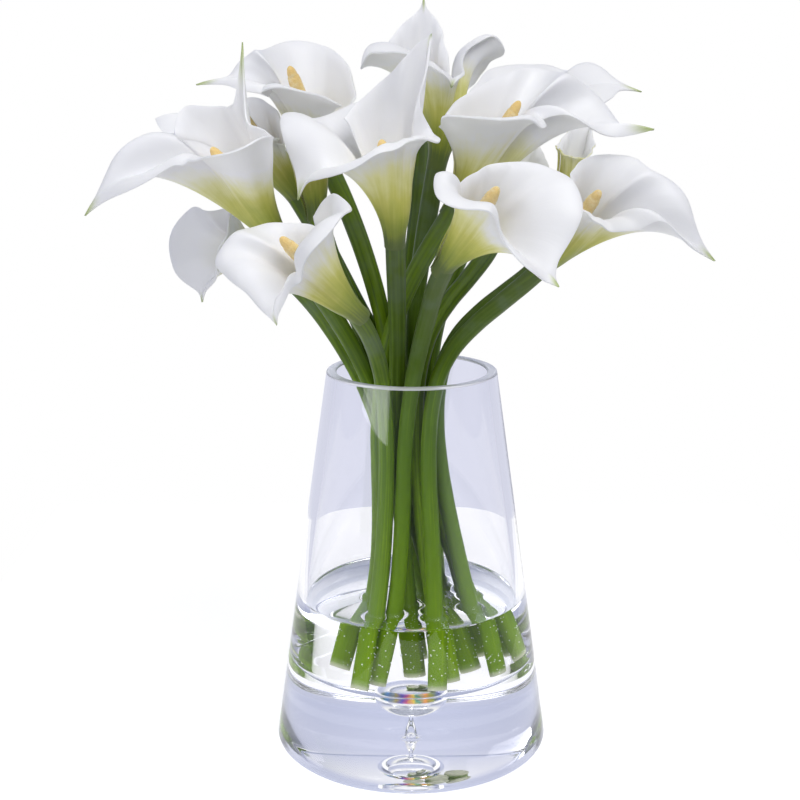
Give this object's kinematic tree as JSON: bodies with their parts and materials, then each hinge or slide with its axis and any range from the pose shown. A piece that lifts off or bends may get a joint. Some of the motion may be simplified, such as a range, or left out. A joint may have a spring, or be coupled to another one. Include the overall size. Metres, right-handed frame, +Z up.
{
  "type": "calla lilies in a glass vase",
  "caption": "Bunch of white calla lilies with green stems, standing in water in a tapered clear glass vase with a very thick base.",
  "frame": {"origin": "on the vase's axis, at the level the vase stands on", "axes": "+Z up along the vase's axis, -Y the front of the bunch as pictured, +X to the right seen from the front"},
  "size_m": [0.3618, 0.2482, 0.463],
  "materials": {
    "vase_glass": "clear polished glass with a faint lavender tint",
    "water": "clear water",
    "stem": "smooth green plant stem, satin",
    "spathe": "waxy white petal, green at its foot",
    "spadix": "granular yellow-orange"
  },
  "bodies": {
    "root": {"vase": "vase_glass", "water": "water", "stem_A": "stem", "spathe_A": "spathe", "spadix_A": "spadix", "stem_B": "stem", "spathe_B": "spathe", "spadix_B": "spadix", "stem_C": "stem", "spathe_C": "spathe", "spadix_C": "spadix", "stem_E": "stem", "spathe_E": "spathe", "spadix_E": "spadix", "stem_F": "stem", "spathe_F": "spathe", "spadix_F": "spadix", "stem_G": "stem", "spathe_G": "spathe", "spadix_G": "spadix", "stem_H": "stem", "spathe_H": "spathe", "spadix_H": "spadix", "stem_I": "stem", "spathe_I": "spathe", "spadix_I": "spadix", "stem_K": "stem", "spathe_K": "spathe", "spadix_K": "spadix", "stem_L": "stem", "spathe_L": "spathe", "spadix_L": "spadix", "stem_M": "stem", "spathe_M": "spathe", "spadix_M": "spadix", "stem_N": "stem", "spathe_N": "spathe", "spadix_N": "spadix", "stem_O": "stem", "spathe_O": "spathe", "spadix_O": "spadix", "stem_P": "stem", "spathe_P": "spathe", "spadix_P": "spadix", "stem_Q": "stem", "spathe_Q": "spathe", "spadix_Q": "spadix"}
  },
  "joints": []
}
